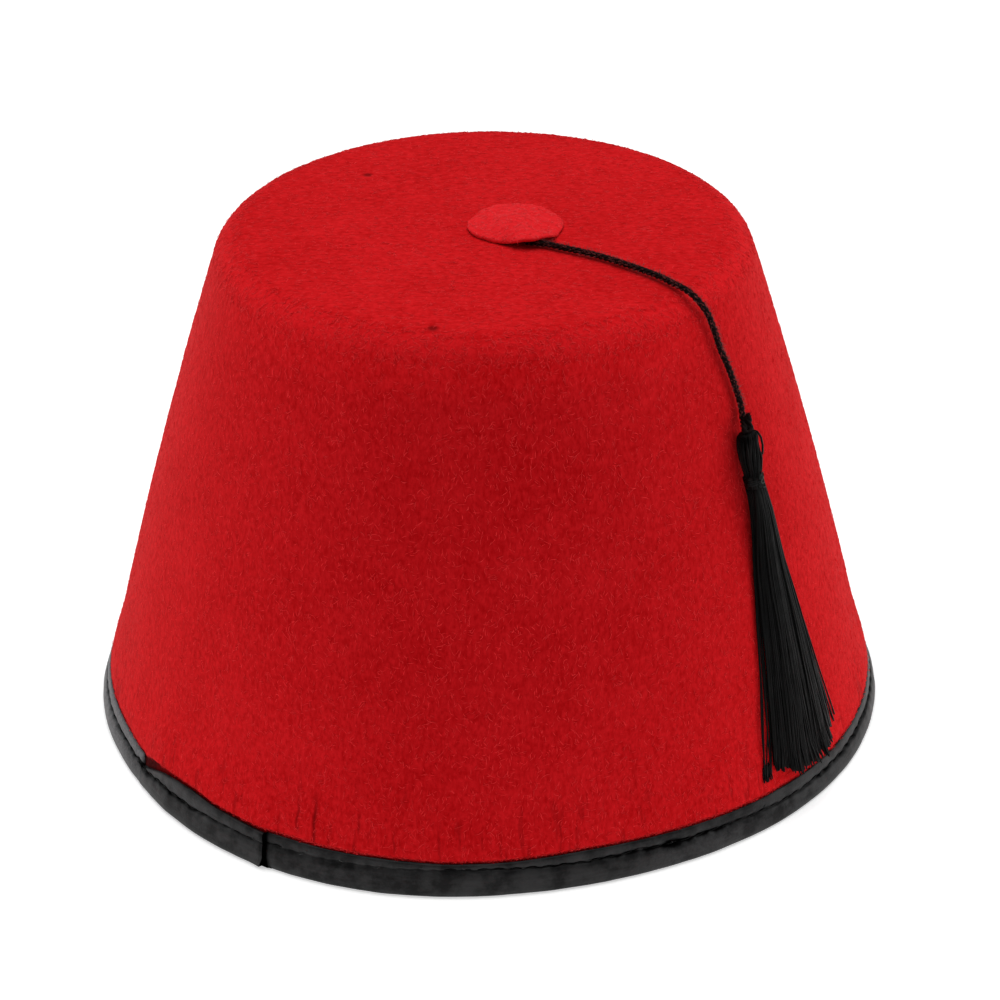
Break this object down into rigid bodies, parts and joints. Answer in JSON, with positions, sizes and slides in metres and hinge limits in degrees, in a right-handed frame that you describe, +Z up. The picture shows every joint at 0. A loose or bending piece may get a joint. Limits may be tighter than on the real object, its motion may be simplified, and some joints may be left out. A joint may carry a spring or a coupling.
{
  "type": "fez hat",
  "caption": "Brimless tapered felt hat with a flat crown, black edge binding, crown disc and a tassel on a cord; worn on the head.",
  "frame": {"origin": "middle of the box round the hat without its cord and tassel, at the level of the rim's underside", "axes": "+Z up through the crown, +X along the long way of the oval rim to the side where the tassel hangs, -Y to the front"},
  "size_m": [0.2077, 0.1764, 0.1397],
  "materials": {
    "red_felt": "matte needled felt with fine loose fibres",
    "disc_felt": "matte felt, slightly lighter and pinker than the hat",
    "black_tape": "satin smooth vinyl tape, stitched",
    "black_cord": "twisted smooth thread, slight sheen",
    "tassel_thread": "loose smooth threads, slight sheen"
  },
  "bodies": {
    "root": {"felt_shell": "red_felt", "edge_binding": "black_tape", "crown_disc": "disc_felt", "tassel_cord": "black_cord", "cord_knot": "black_cord", "tassel": "tassel_thread", "tassel_wrap": "tassel_thread"}
  },
  "joints": []
}
